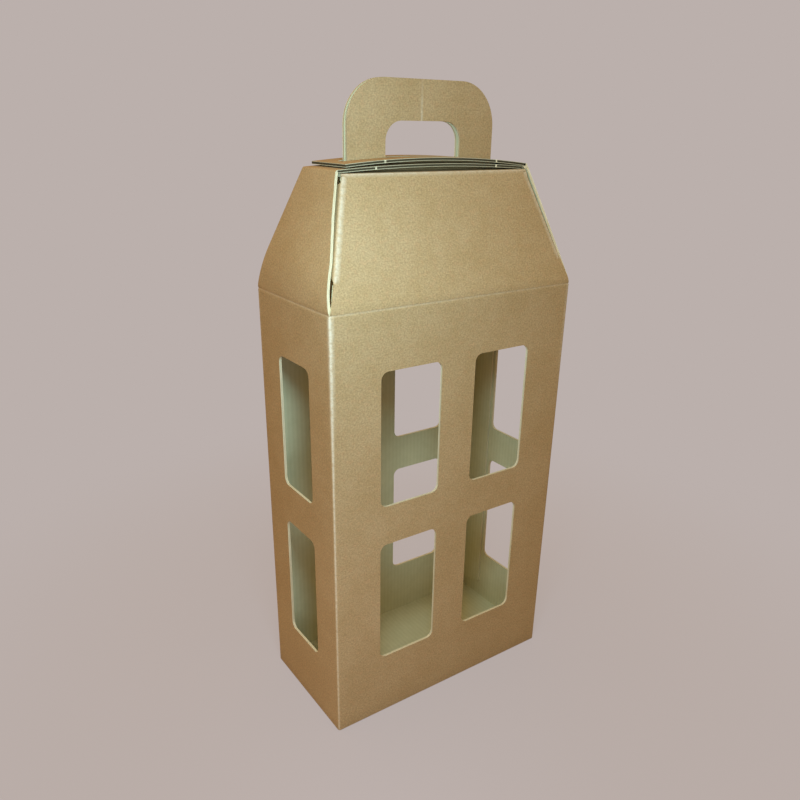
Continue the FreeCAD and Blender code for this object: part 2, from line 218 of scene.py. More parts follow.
roof = roof_walk()
left_gable = gable_walk(FLAP_ROOT, GABLE_BEND, GABLE_SLOPE)
right_gable = gable_walk(HINGE_HEIGHT, RIGHT_GABLE_BEND, RIGHT_GABLE_SLOPE)
lower_root = left_gable.inner_end()
hinge = right_gable.inner_end()
GABLE_HALF_TOP = GABLE_HALF_FOOT - (lower_root[1] - WALL_HEIGHT) * math.tan(math.radians(GABLE_SIDE_SLOPE))
lower_reach = HALF_WIDTH - lower_root[0] + HANDLE_HALF_WIDTH + LOWER_SLOT_CLEARANCE
lower_bow, lower_half_turn, _ = bow_shape(lower_reach + FLAP_END_BAND, LOWER_FLAP_RISE, 0)
left_gable.turn(BOARD, 90 - math.degrees(left_gable.leans[-1]) - lower_half_turn, 5)
LOWER_FLAP_START = left_gable.end()
left_gable.turn(lower_bow, lower_half_turn * 2, 22)
walks = {FRONT: roof, BACK: roof, LEFT: left_gable, RIGHT: right_gable}


def roof_half_width(height):
    return ROOF_HALF_FOOT - (height - WALL_HEIGHT) * math.tan(math.radians(ROOF_SIDE_SLOPE))


def gable_half_width(walk, height):
    """The right gable narrows over a little more height, up to the crease of its flap."""
    top = lower_root[1] if walk is left_gable else HINGE_HEIGHT + BOARD
    narrowing = (GABLE_HALF_FOOT - GABLE_HALF_TOP) * (height - WALL_HEIGHT) / (top - WALL_HEIGHT)
    return np.maximum(GABLE_HALF_FOOT - narrowing, GABLE_HALF_TOP)


def roof_length(height):
    """The flat place along the roof whose outer face is at a height on the straight slope."""
    heights = [point[1] for point in roof.points[:FOLD_START + 1]]
    return float(np.interp(height, heights, roof.lengths[:FOLD_START + 1]))


# The fold of a tuck flap about the sloping side of the roof, in the frame of the front roof with its
# side at +X: along the edge, away from the roof in its plane, and out of the box.
slope_in, side_in = math.radians(ROOF_SLOPE), math.radians(ROOF_SIDE_SLOPE)
edge_in = -math.tan(side_in) * math.cos(slope_in)
SIDE_EDGE = Vector((edge_in, math.sin(slope_in), math.cos(slope_in))).normalized()
OUT = Vector((0, -math.cos(slope_in), math.sin(slope_in)))
AWAY = SIDE_EDGE.cross(OUT)
AWAY = AWAY if AWAY.x > 0 else -AWAY
INTO = (Vector((0, 1, 0)) - SIDE_EDGE * SIDE_EDGE.y).normalized()
TUCK_TURN = AWAY.angle(INTO)
TUCK_ARC = TUCK_FOLD * TUCK_TURN
TUCK_START = -TUCK_FOLD * math.tan(TUCK_TURN / 2)
TUCK_SPARE = TUCK_ARC + TUCK_START * 2
FLAT_EDGE = Vector((edge_in, 1)).normalized()
FLAT_AWAY = Vector((FLAT_EDGE.y, -FLAT_EDGE.x))


def beyond_side(off_middle, height):
    """How far a flat place on the roof lies beyond the line of its sloping side."""
    return (off_middle - roof_half_width(height)) * FLAT_AWAY.x


def tuck_corners():
    """The flat corners of a tuck flap past the roof's side, from its lower end up."""
    corners = []
    for height, depth in ((TUCK_LOW, 0), (TUCK_LOW + TUCK_LOW_TAPER, TUCK_DEPTH),
                          (TUCK_HIGH - TUCK_HIGH_TAPER, TUCK_DEPTH), (TUCK_HIGH, 0)):
        foot = Vector((roof_half_width(height), roof_length(height)))
        reach = depth * INTO.y + (TUCK_SPARE if depth else 0)
        corners.append(foot + FLAT_EDGE * depth * SIDE_EDGE.y + FLAT_AWAY * reach)
    return [tuple(corner) for corner in corners]


def arc_points(middle, radius, first, last, steps):
    angles = [math.radians(first + (last - first) * count / steps) for count in range(steps + 1)]
    return [(middle[0] + radius * math.cos(angle), middle[1] + radius * math.sin(angle)) for angle in angles]


def rounded_hole(middle, low, high, half_width, low_corner, high_corner):
    """A window or hand hole with its own radius at the foot and at the head."""
    left, right = middle - half_width, middle + half_width
    return (arc_points((right - low_corner, low + low_corner), low_corner, -90, 0, 6)
            + arc_points((right - high_corner, high - high_corner), high_corner, 0, 90, 8)
            + arc_points((left + high_corner, high - high_corner), high_corner, 90, 180, 8)
            + arc_points((left + low_corner, low + low_corner), low_corner, 180, 270, 6))


def mirrored(side, middle):
    """An outline that is the same on both sides of a middle line, from its right side upward."""
    return ([(middle + across, along) for across, along in side]
            + [(middle - across, along) for across, along in reversed(side)])


def roof_outline(middle):
    """The roof, its shelf and its ply of the handle, from one foot up and over to the other."""
    low, high = roof_length(TUCK_LOW), roof_length(TUCK_HIGH)
    heights = dict(zip(roof.lengths, [point[1] for point in roof.points]))
    lengths = roof.lengths[1:HANDLE_TURN]
    side = [(roof_half_width(heights[length]), length) for length in lengths if length < low]
    side += tuck_corners()
    side += [(roof_half_width(heights[length]), length) for length in lengths if length > high]
    base = roof.lengths[HANDLE_TURN]
    side += [(side[-1][0], base), (HANDLE_HALF_WIDTH, base)]
    corner = (HANDLE_HALF_WIDTH - HANDLE_CORNER, roof.end() - HANDLE_CORNER)
    side += arc_points(corner, HANDLE_CORNER, 0, 90, 14)
    return mirrored(side, middle)


def flap_edge(half_width, lengths, nicks):
    """The long edge of a flap, with the torn stubs that held it in the sheet."""
    edge = [(half_width, length) for length in lengths]
    for nick in nicks:
        edge += [(half_width, nick - NICK_HALF_FOOT), (half_width + NICK_OUT, nick - NICK_HALF_LENGTH),
                 (half_width + NICK_OUT, nick + NICK_HALF_LENGTH), (half_width, nick + NICK_HALF_FOOT)]
    return sorted(edge, key=lambda place: place[1])


def gable_outline(middle, walk, nicks):
    lengths = walk.lengths[1:]
    heights = [point[1] for point in walk.points[1:]]
    rising = [(float(gable_half_width(walk, height)), length) for height, length in zip(heights, lengths)
              if length < LOWER_FLAP_START]
    side = rising + flap_edge(GABLE_HALF_TOP, [length for length in lengths if length >= LOWER_FLAP_START],
                              nicks)
    return mirrored(side, middle)


def flap_slot(middle, near, far):
    """The slot of a top flap that goes over the handle."""
    half_slot = HANDLE_FACE + SLOT_CLEARANCE
    return [(middle - half_slot, near), (middle + half_slot, near), (middle + half_slot, far),
            (middle - half_slot, far)]


def sheet_outlines():
    """The outline of the flat sheet, and then its windows, hand holes and slot."""
    seam_end = SEAM_START + SEAM_WIDTH
    seam = [(SEAM_START, 0), (SEAM_START, SEAM_LOW), (seam_end, SEAM_LOW + SEAM_TAPER),
            (seam_end, SEAM_HIGH - SEAM_TAPER), (SEAM_START, SEAM_HIGH), (SEAM_START, WALL_HEIGHT)]
    lower_nicks = [left_gable.length_at(HALF_WIDTH + off) for off in LOWER_FLAP_NICKS]
    outer = ([(0, 0)] + seam + roof_outline(BACK) + gable_outline(LEFT, left_gable, lower_nicks)
             + roof_outline(FRONT) + gable_outline(RIGHT, right_gable, []) + [(0, WALL_HEIGHT)])
    columns = [(middle + off, FRONT_WINDOW_HALF_WIDTH) for middle in (FRONT, BACK)
               for off in (-FRONT_WINDOW_OFF, FRONT_WINDOW_OFF)]
    columns += [(middle, END_WINDOW_HALF_WIDTH) for middle in (RIGHT, LEFT)]
    holes = [rounded_hole(middle, height - WINDOW_HALF_HEIGHT, height + WINDOW_HALF_HEIGHT, half_width,
                          WINDOW_CORNER, WINDOW_CORNER)
             for middle, half_width in columns for height in WINDOW_HEIGHTS]
    above_ply = roof.end() - HANDLE_TOP
    holes += [rounded_hole(middle, above_ply + HAND_HOLE_LOW, above_ply + HAND_HOLE_HIGH,
                           HAND_HOLE_HALF_WIDTH, HAND_HOLE_LOW_CORNER, HAND_HOLE_HIGH_CORNER)
              for middle in (FRONT, BACK)]
    near = left_gable.length_at(HALF_WIDTH - HANDLE_HALF_WIDTH - SLOT_ROOT_CLEARANCE)
    far = left_gable.length_at(lower_root[0] + lower_reach)
    return [outer] + holes + [flap_slot(LEFT, near, far)]


def sheet_lines():
    """Where the flat sheet is divided, so that it folds and bends smoothly."""
    foot, top = 0, WALL_HEIGHT
    fold_ends = (292, 353.2)
    top_fold_half = 70
    lines = []
    for across in np.arange(GRID, SEAM_START, GRID):
        lines.append(((across, foot), (across, top)))
    for fold in FOLDS:
        for off in [-3.0] + [QUARTER * (count / 6 - 0.5) for count in range(7)] + [3.0]:
            lines.append(((fold + off, foot), (fold + off, top)))
    first, last = 0, SEAM_START + SEAM_WIDTH
    for along in [0.25, 0.7, BOTTOM_ROLL] + list(np.arange(GRID, WALL_HEIGHT - 5, GRID)):
        lines.append(((first, along), (last, along)))
    for off in (-2.2, -CREASE_HALF_WIDTH, -0.5, 0, 0.5, CREASE_HALF_WIDTH, 2.2):
        lines.append(((first, top + off), (last, top + off)))
    for middle, walk in walks.items():
        half = ROOF_HALF_FOOT if walk is roof else GABLE_HALF_FOOT
        for length in walk.lengths[2:]:
            lines.append(((middle - half, length), (middle + half, length)))
        for across in np.arange(-half, half, GRID):
            lines.append(((middle + across, top), (middle + across, walk.end())))
    for middle in (FRONT, BACK):
        tuck_heights = [TUCK_LOW - TUCK_EASE, TUCK_LOW, 310, 320, 330, 340, TUCK_HIGH, TUCK_HIGH + TUCK_EASE]
        for height in tuck_heights:
            length = roof_length(height)
            lines.append(((middle - ROOF_HALF_FOOT, length), (middle + ROOF_HALF_FOOT, length)))
        for off in [-FOLD_MARGIN] + [TUCK_ARC * count / 6 for count in range(7)] + [4.5, 12]:
            for side in (-1, 1):
                ends = [Vector((roof_half_width(height), roof_length(height))) for height in fold_ends]
                ends = [end + FLAT_AWAY * (TUCK_START + off) for end in ends]
                lines.append(tuple((middle + end.x * side, end.y) for end in ends))
    for walk, middle in ((roof, FRONT), (roof, BACK), (left_gable, LEFT)):
        fold = top_fold(walk)
        for off in (-FOLD_MARGIN, FOLD_MARGIN):
            lines.append(((middle - top_fold_half, fold + off), (middle + top_fold_half, fold + off)))
    for off in (-1.2, -0.5, 0, 0.5, 1.2):
        across = FRONT + HANDLE_CREASE + off
        lines.append(((across, roof.end() - HANDLE_CREASE_LENGTH), (across, roof.end())))
    return lines


def top_fold(walk):
    """Where along the walk the slope or gable turns over at its top."""
    if walk is roof:
        return (roof.lengths[FOLD_START] + roof.lengths[FOLD_END]) / 2
    return (left_gable.lengths[GABLE_FOLD_START] + LOWER_FLAP_START) / 2


def smooth(value, low, high):
    share = np.clip((value - low) / (high - low), 0, 1)
    return share * share * (3 - 2 * share)


def outer_depth(along):
    """How far the outer face is pressed in: rolled under at the foot, and pressed at the top crease."""
    roll = BOTTOM_ROLL - np.clip(along, 0, BOTTOM_ROLL)
    rolled = BOTTOM_ROLL - np.sqrt(BOTTOM_ROLL ** 2 - roll ** 2)
    pressed = CREASE_DEPTH * (1 - smooth(np.abs(along - WALL_HEIGHT), 0, CREASE_HALF_WIDTH))
    return np.maximum(rolled, pressed)


def fold_sheet(across, along, share):
    """Flat places at a share of the way through the board, folded up into the carrier."""
    foot_margin, tuck_spread, nick_margin = 0.13, 0.2, 0.5
    top = outer_depth(along)
    depth = top + (BOARD - top) * share
    wall = plan.at(across, depth)
    places = np.column_stack([wall, along])
    for middle, walk in walks.items():
        heights = np.interp(along, walk.lengths, [point[1] for point in walk.points])
        if walk is roof:
            reach = ROOF_HALF_FOOT + foot_margin + (along - WALL_HEIGHT) * tuck_spread
        else:
            reach = gable_half_width(walk, heights) + nick_margin
        upper = (along > WALL_HEIGHT + 1e-4) & (np.abs(across - middle) < reach)
        if walk is right_gable:
            seat = np.sqrt(CREASE_SEAT ** 2 - (BOARD - depth) ** 2)
            lengths = np.minimum(along, walk.end() - seat)
        else:
            lengths = along
        side = walk.at(lengths, depth)
        if walk is left_gable:
            side[:, 0] += NEAR_EDGE_DIP * near_edge_share(across - middle, along)
        base = plan.at(middle, 0.0)
        ahead, inward = leaning(np.interp(middle, plan.lengths, plan.leans))
        flat = base + ahead * (across - middle)[:, None]
        pull = (1 - smooth(along, WALL_HEIGHT, WALL_HEIGHT + 4))[:, None]
        level = flat + inward * side[:, :1] + (wall - flat - inward * depth[:, None]) * pull
        panel = np.column_stack([level, side[:, 1]])
        if walk is roof:
            panel = fold_tucks(panel, across - middle, heights, along, depth, ahead, inward)
        places[upper] = panel[upper]
    return places


def near_edge_share(off_middle, along):
    """How much flatter the left gable lies: not at the back, where it bulges fully, and most at the front."""
    dip_height = 62
    dip_starts, dip_full = -8, 38
    rising = np.clip((along - WALL_HEIGHT) / dip_height, 0, 1)
    return np.sin(math.pi * rising) ** 2 * smooth(-off_middle, dip_starts, dip_full)


def fold_tucks(panel, off_middle, heights, along, depth, ahead, inward):
    """Turns the parts past the roof's sloping sides inward, to lie behind the gables."""
    past = beyond_side(np.abs(off_middle), heights) - TUCK_START
    low, high = roof_length(TUCK_LOW), roof_length(TUCK_HIGH)
    share = smooth(along, low - TUCK_EASE, low) * (1 - smooth(along, high, high + TUCK_EASE))
    share = np.where(past > TUCK_ARC / 2, 1.0, share)
    reach_below, reach_above = 6, 14
    near_tuck = (along > low - reach_below) & (along < min(high + reach_above, roof.lengths[FOLD_START + 1]))
    turning = (past > 0) & (share > 0) & near_tuck
    side = np.sign(off_middle)
    frames = []
    for vector in (AWAY, OUT, INTO):
        frames.append(np.column_stack([
            ahead[0] * vector.x * side + inward[0] * vector.y,
            ahead[1] * vector.x * side + inward[1] * vector.y,
            np.full(len(side), vector.z)]))
    away, out, into = frames
    angle = np.clip(past / TUCK_FOLD, 0, TUCK_TURN)[:, None]
    spare = np.clip(past - TUCK_ARC, 0, None)[:, None]
    radius = (TUCK_FOLD - depth)[:, None]
    start = panel - away * past[:, None] - out * radius
    folded = start + out * radius * np.cos(angle) + away * radius * np.sin(angle) + into * spare
    mixed = panel + (folded - panel) * share[:, None]
    return np.where(turning[:, None], mixed, panel)


def inside(places, outlines):
    """True for each flat place that lies within the first outline and outside the others."""
    odd = np.zeros(len(places), bool)
    x, y = places[:, 0], places[:, 1]
    for outline in outlines:
        for (x1, y1), (x2, y2) in zip(outline, outline[1:] + outline[:1]):
            if y1 == y2:
                continue
            crossing = (y1 > y) != (y2 > y)
            odd ^= crossing & (x < (x2 - x1) * (y - y1) / (y2 - y1) + x1)
    return odd


def cut_blank(outlines, lines):
    """Triangles of the flat sheet that follow its outlines and the given lines."""
    points, edges = [], []
    for outline in outlines:
        first = len(points)
        count = len(outline)
        points += outline
        edges += [(first + index, first + (index + 1) % count) for index in range(count)]
    for line in lines:
        edges.append((len(points), len(points) + 1))
        points += line
    points = [Vector(point) for point in points]
    cut = geometry.delaunay_2d_cdt(points, edges, [], 0, 1e-4)
    places = np.array([tuple(point) for point in cut[0]])
    triangles = np.array(cut[2])
    triangles = triangles[inside(places[triangles].mean(axis=1), outlines)]
    used, triangles = np.unique(triangles, return_inverse=True)
    return places[used], triangles.reshape(-1, 3)


def board_mesh(name, places, triangles, fold, fold_highlight, flute_shade):
    """A sheet of board with its outside, its inside and its cut edges, folded by a function."""
    count = len(places)
    shares = [row / RIM_ROWS for row in range(RIM_ROWS + 1)]
    rows = [fold(places[:, 0], places[:, 1], np.full(count, share)) for share in shares]
    edges = dict.fromkeys(edge for a, b, c in triangles for edge in ((a, b), (b, c), (c, a)))
    rim = [edge for edge in edges if (edge[1], edge[0]) not in edges]
    inner = count * RIM_ROWS
    faces = [(c, b, a) for a, b, c in triangles]
    faces += [(a + inner, b + inner, c + inner) for a, b, c in triangles]
    for a, b in rim:
        for row in range(RIM_ROWS):
            outer, deeper = row * count, (row + 1) * count
            faces.append((a + outer, b + outer, b + deeper, a + deeper))
    slots = [OUTSIDE] * len(triangles) + [INSIDE] * len(triangles) + [EDGE] * len(rim) * RIM_ROWS
    corners = np.concatenate(rows)
    sheet = np.concatenate([np.column_stack([places, np.full(count, share * BOARD)]) for share in shares])
    used, flat_faces = np.unique(np.concatenate([np.array(face) for face in faces]), return_inverse=True)
    mesh = bpy.data.meshes.new(name)
    sizes = [len(face) for face in faces]
    starts = np.cumsum([0] + sizes[:-1])
    indexed = [tuple(int(i) for i in flat_faces[start:start + size]) for start, size in zip(starts, sizes)]
    mesh.from_pydata((corners[used] * MM).tolist(), [], indexed)
    highlit = np.tile(fold_highlight(places[:, 0], places[:, 1]), RIM_ROWS + 1)
    flute_shades = np.tile(flute_shade(places[:, 0], places[:, 1]), RIM_ROWS + 1)
    return paper_piece(mesh, sheet[used], highlit[used], flute_shades[used], slots)


def paper_piece(mesh, sheet, highlit, flute_shades, slots):
    """Gives a mesh its places on the sheet, its painted fold highlight, its painted flute shade and its three
    materials, and puts it in the scene.
    """
    mesh.attributes.new("sheet", "FLOAT_VECTOR", "POINT").data.foreach_set("vector", np.ravel(sheet))
    mesh.attributes.new("painted_fold_highlight", "FLOAT", "POINT").data.foreach_set("value", highlit)
    mesh.attributes.new("open_flute_shade", "FLOAT", "POINT").data.foreach_set("value", flute_shades)
    for material in (kraft_outside, kraft_inside, board_edge):
        mesh.materials.append(material)
    mesh.polygons.foreach_set("material_index", slots)
    mesh.polygons.foreach_set("use_smooth", [True] * len(slots))
    mesh.set_sharp_from_angle(angle=math.radians(32))
    piece = bpy.data.objects.new(mesh.name, mesh)
    bpy.context.scene.collection.objects.link(piece)
    return piece


def colour(red, green, blue):
    """A colour picked on a 0 to 255 scale, made linear."""
    return tuple((part / 255) ** 2.2 for part in (red, green, blue)) + (1.0,)


class Nodes:
    """Adds nodes to a tree and joins their sockets."""

    def __init__(self, tree):
        self.tree = tree
        tree.nodes.clear()

    def add(self, kind, inputs=(), **settings):
        made = self.tree.nodes.new(kind)
        for name, value in settings.items():
            setattr(made, name, value)
        for key, value in dict(inputs).items():
            if isinstance(value, bpy.types.NodeSocket):
                self.tree.links.new(value, made.inputs[key])
            else:
                made.inputs[key].default_value = value
        return made

    def maths(self, operation, *values):
        return self.add("ShaderNodeMath", enumerate(values), operation=operation).outputs[0]

    def mix(self, share, first, second):
        inputs = {0: share, 6: first, 7: second}
        return self.add("ShaderNodeMix", inputs, data_type="RGBA").outputs[2]

    def spread(self, value, low, high, new_low=0.0, new_high=1.0):
        inputs = enumerate((value, low, high, new_low, new_high))
        return self.add("ShaderNodeMapRange", inputs, interpolation_type="SMOOTHSTEP").outputs[0]

    def grain(self, place, scale, detail=3.0, roughness=0.6):
        inputs = {"Vector": place, "Scale": scale, "Detail": detail, "Roughness": roughness}
        return self.add("ShaderNodeTexNoise", inputs).outputs["Fac"]

    def stretched(self, place, along):
        inputs = {0: place, 1: along}
        return self.add("ShaderNodeVectorMath", inputs, operation="MULTIPLY").outputs[0]

    def sheet_place(self):
        return self.add("ShaderNodeAttribute", attribute_name="sheet").outputs["Vector"]


def effect(name, inputs, outputs):
    """An empty node group, with its inputs as (name, kind, value) and its outputs as (name, kind)."""
    tree = bpy.data.node_groups.new(name, "ShaderNodeTree")
    for label, kind, value in inputs:
        socket = tree.interface.new_socket(label, in_out="INPUT", socket_type="NodeSocket" + kind)
        if value is not None:
            socket.default_value = value
    for label, kind in outputs:
        tree.interface.new_socket(label, in_out="OUTPUT", socket_type="NodeSocket" + kind)
    nodes = Nodes(tree)
    return nodes, nodes.add("NodeGroupInput").outputs, nodes.add("NodeGroupOutput")


def make_paper_fibres():
    """The cloudiness and short fibres of kraft paper, and a height for its fine relief."""
    nodes, given, result = effect("paper_fibres", [("Place", "Vector", None)],
                                  [("Clouds", "Float"), ("Fibres", "Float"), ("Height", "Float")])
    place = given["Place"]
    broad = nodes.grain(place, 0.03, 2.0)
    patchy = nodes.grain(place, 0.16, 4.0, 0.65)
    clouds = nodes.maths("ADD", nodes.maths("MULTIPLY", broad, 0.55), nodes.maths("MULTIPLY", patchy, 0.45))
    lying = nodes.grain(nodes.stretched(place, (0.8, 1.25, 1.0)), 1.0, 3.0, 0.6)
    standing = nodes.grain(nodes.stretched(place, (1.3, 0.75, 1.0)), 0.8, 3.0, 0.6)
    fibres = nodes.maths("ADD", nodes.maths("MULTIPLY", lying, 0.6), nodes.maths("MULTIPLY", standing, 0.4))
    nodes.tree.links.new(clouds, result.inputs["Clouds"])
    nodes.tree.links.new(fibres, result.inputs["Fibres"])
    nodes.tree.links.new(fibres, result.inputs["Height"])
    return nodes.tree


def make_flute_ridges():
    """Even ridges that run up the sheet, where the flutes show through a liner."""
    inputs = [("Place", "Vector", None), ("Pitch", "Float", FLUTE_PITCH)]
    nodes, given, result = effect("flute_ridges", inputs, [("Ridge", "Float")])
    across = nodes.add("ShaderNodeSeparateXYZ", {0: given["Place"]}).outputs[0]
    turn = nodes.maths("MULTIPLY", nodes.maths("DIVIDE", across, given["Pitch"]), math.tau)
    ridge = nodes.maths("MULTIPLY_ADD", nodes.maths("SINE", turn), 0.5, 0.5)
    nodes.tree.links.new(ridge, result.inputs["Ridge"])
    return nodes.tree


def make_painted_fold_highlights():
    """Where a pale highlight is painted on the outer liner along a fold, broken up along its length."""
    nodes, given, result = effect("painted_fold_highlights", [("Place", "Vector", None), ("Fold", "Float", 0.0)],
                                  [("Mask", "Float")])
    broken = nodes.spread(nodes.grain(given["Place"], 0.35, 4.0, 0.7), 0.34, 0.6, 0.45, 1.0)
    fine = nodes.spread(nodes.grain(given["Place"], 1.1, 2.0, 0.6), 0.3, 0.55, 0.85, 1.0)
    kept = nodes.maths("MULTIPLY", broken, fine)
    nodes.tree.links.new(nodes.maths("MULTIPLY", given["Fold"], kept), result.inputs["Mask"])
    return nodes.tree


paper_fibres = make_paper_fibres()
flute_ridges = make_flute_ridges()
painted_fold_highlights = make_painted_fold_highlights()


def place_effect(nodes, tree, **inputs):
    made = nodes.add("ShaderNodeGroup", node_tree=tree)
    for name, value in inputs.items():
        if isinstance(value, bpy.types.NodeSocket):
            nodes.tree.links.new(value, made.inputs[name])
        else:
            made.inputs[name].default_value = value
    return made.outputs


def finish_material(name):
    material = bpy.data.materials.new(name)
    material.use_nodes = True
    return material, Nodes(material.node_tree)


def close_material(nodes, base, roughness, height, strength, distance):
    bump = nodes.add("ShaderNodeBump", {"Strength": strength, "Distance": distance, "Height": height})
    shader = nodes.add("ShaderNodeBsdfPrincipled", {"Base Color": base, "Roughness": roughness,
                                                    "Normal": bump.outputs[0]})
    shader.inputs["Specular IOR Level"].default_value = 0.35
    nodes.add("ShaderNodeOutputMaterial", {"Surface": shader.outputs[0]})


def make_kraft_outside():
    """The brown outer liner: cloudy, flecked, and with a pale highlight painted along the folds."""
    material, nodes = finish_material("kraft_outside")
    place = nodes.sheet_place()
    paper = place_effect(nodes, paper_fibres, Place=place)
    tone = nodes.mix(nodes.spread(paper["Clouds"], 0.3, 0.7), colour(163, 137, 92), colour(172, 147, 103))
    warmth = nodes.spread(nodes.grain(place, 0.3, 2.0), 0.48, 0.7)
    tone = nodes.mix(nodes.maths("MULTIPLY", warmth, 0.3), tone, colour(178, 140, 96))
    flecks = nodes.spread(paper["Fibres"], 0.3, 0.7, 0.76, 1.22)
    tone = nodes.add("ShaderNodeVectorMath", {0: tone, "Scale": flecks}, operation="SCALE").outputs[0]
    fold = nodes.add("ShaderNodeAttribute", attribute_name="painted_fold_highlight").outputs["Fac"]
    highlit = place_effect(nodes, painted_fold_highlights, Place=place, Fold=fold)
    # Painted highlight: a pale cream is mixed in along the folds.
    tone = nodes.mix(highlit["Mask"], tone, colour(222, 214, 182))
    roughness = nodes.spread(paper["Clouds"], 0.3, 0.7, 0.62, 0.74)
    close_material(nodes, tone, roughness, paper["Height"], 0.35, 0.0002)
    return material


def make_kraft_inside():
    """The greyish inner liner, with the flutes showing through as faint upright ridges."""
    material, nodes = finish_material("kraft_inside")
    place = nodes.sheet_place()
    paper = place_effect(nodes, paper_fibres, Place=place)
    ridge = place_effect(nodes, flute_ridges, Place=place, Pitch=FLUTE_PITCH)["Ridge"]
    tone = nodes.mix(nodes.spread(paper["Clouds"], 0.3, 0.7), colour(190, 185, 139), colour(200, 195, 149))
    tone = nodes.mix(nodes.maths("MULTIPLY", ridge, 0.1), tone, colour(142, 134, 94))
    relief = nodes.maths("MULTIPLY", paper["Height"], 0.2)
    height = nodes.maths("ADD", nodes.maths("MULTIPLY", ridge, 0.8), relief)
    close_material(nodes, tone, 0.8, height, 0.15, 0.0002)
    return material


def make_board_edge():
    """The cut edge: two pale liners and the wavy paper between them, with shadowed hollows.

    Where the cut runs along an open flute, as on the flaps, only the liners are pale, and the middle gets
    painted shade.
    """
    material, nodes = finish_material("board_edge")
    place = nodes.sheet_place()
    paper = place_effect(nodes, paper_fibres, Place=place)
    ridge = place_effect(nodes, flute_ridges, Place=place, Pitch=FLUTE_PITCH)["Ridge"]
    parts = nodes.add("ShaderNodeSeparateXYZ", {0: place}).outputs
    through = nodes.maths("DIVIDE", parts[2], BOARD)
    wave = nodes.maths("MULTIPLY_ADD", ridge, 0.56, 0.22)
    off_wave = nodes.maths("ABSOLUTE", nodes.maths("SUBTRACT", through, wave))
    off_middle = nodes.maths("ABSOLUTE", nodes.maths("SUBTRACT", through, 0.5))
    # Painted shade in the hollows between the wavy paper and the liners.
    hollow = nodes.maths("MULTIPLY", nodes.spread(off_wave, 0.06, 0.2), nodes.spread(off_middle, 0.42, 0.26))
    flute_shade = nodes.add("ShaderNodeAttribute", attribute_name="open_flute_shade").outputs["Fac"]
    along_flute = nodes.maths("MULTIPLY", nodes.spread(off_middle, 0.42, 0.3), nodes.spread(flute_shade, 0.7, 0.9))
    hollow = nodes.maths("MAXIMUM", hollow, along_flute)
    tone = nodes.mix(nodes.spread(paper["Clouds"], 0.3, 0.7), colour(212, 198, 152), colour(226, 213, 170))
    # Painted shade: edges along an open flute turn grey-green, and their hollows dark.
    tone = nodes.mix(nodes.maths("MULTIPLY", flute_shade, 0.5), tone, colour(168, 170, 136))
    tone = nodes.mix(nodes.maths("MULTIPLY", hollow, flute_shade), tone, colour(62, 56, 36))
    close_material(nodes, tone, 0.85, nodes.maths("SUBTRACT", 1.0, hollow), 0.4, 0.0003)
    return material


kraft_outside = make_kraft_outside()
kraft_inside = make_kraft_inside()
board_edge = make_board_edge()


def ridge_of(distance, reach):
    """1 on a fold, falling to 0 at its reach."""
    return np.clip(1 - np.abs(distance) / reach, 0, 1)


def sheet_fold_highlight(across, along):
    """How strongly a pale highlight is painted at each flat place of the sheet, along its folds."""
    highlit = np.zeros(len(across))
    # Painted highlight along the upright folds, stronger and wider towards the top; then the top crease, the
    # roof's folds and the handle's crease.
    reach = 0.9 + 1.4 * smooth(along, 170, WALL_HEIGHT)
    strength = 0.5 + 0.35 * smooth(along, 60, WALL_HEIGHT)
    for fold in FOLDS:
        highlit = np.maximum(highlit, ridge_of(across - fold, reach) * strength * (along <= WALL_HEIGHT))
    highlit = np.maximum(highlit, ridge_of(along - WALL_HEIGHT, 0.9) * 0.2)
    for middle in (FRONT, BACK):
        on_roof = (np.abs(across - middle) < ROOF_HALF_FOOT + 15) & (along > WALL_HEIGHT + 3)
        highlit = np.maximum(highlit, ridge_of(along - top_fold(roof), 1.5) * on_roof * 0.65)
        slope_heights = [point[1] for point in roof.points[:FOLD_START + 1]]
        heights = np.interp(along, roof.lengths[:FOLD_START + 1], slope_heights)
        past = beyond_side(np.abs(across - middle), heights) - TUCK_START - TUCK_ARC / 2
        upright = (heights > TUCK_LOW - 1) & (along < roof.lengths[FOLD_START + 2])
        highlit = np.maximum(highlit, ridge_of(past + 1.0, 1.9) * on_roof * upright * 0.55)
    on_handle = along > roof.end() - HANDLE_CREASE_LENGTH
    above_hole = 0.08 + 0.4 * (1 - smooth(along, roof.end() - 15, roof.end() - 11))
    return np.maximum(highlit, ridge_of(across - FRONT - HANDLE_CREASE, 0.9) * on_handle * above_hole)


def sheet_flute_shade(across, along):
    """How much painted shade the cut edges get in an open flute: fully on the flap, half on the handle."""
    on_gable = np.abs(across - LEFT) < GABLE_HALF_TOP + 1
    on_flap = on_gable & (along > LOWER_FLAP_START)
    stub = np.abs(across - LEFT) > GABLE_HALF_TOP + 0.2
    on_handle = ~on_gable & (along > roof.lengths[HANDLE_TURN])
    return np.select([on_flap & ~stub, on_handle, on_flap], [1.0, 0.5, 0.0], 0.2)


def unmarked(across, along):
    """A flap without painted fold highlights or painted flute shade."""
    return np.zeros(len(across))


def make_folded_sheet():
    places, triangles = cut_blank(sheet_outlines(), sheet_lines())
    return board_mesh("folded_sheet", places, triangles, fold_sheet, sheet_fold_highlight, sheet_flute_shade)


def make_bottom_flap(name, outline, level):
    """One layer of the snap-lock bottom, lying flat between the walls."""
    def lay(across, along, share):
        return np.column_stack([across, along, level + share * BOARD])
    places, triangles = cut_blank([outline], [])
    return board_mesh(name, places, triangles, lay, unmarked, unmarked)


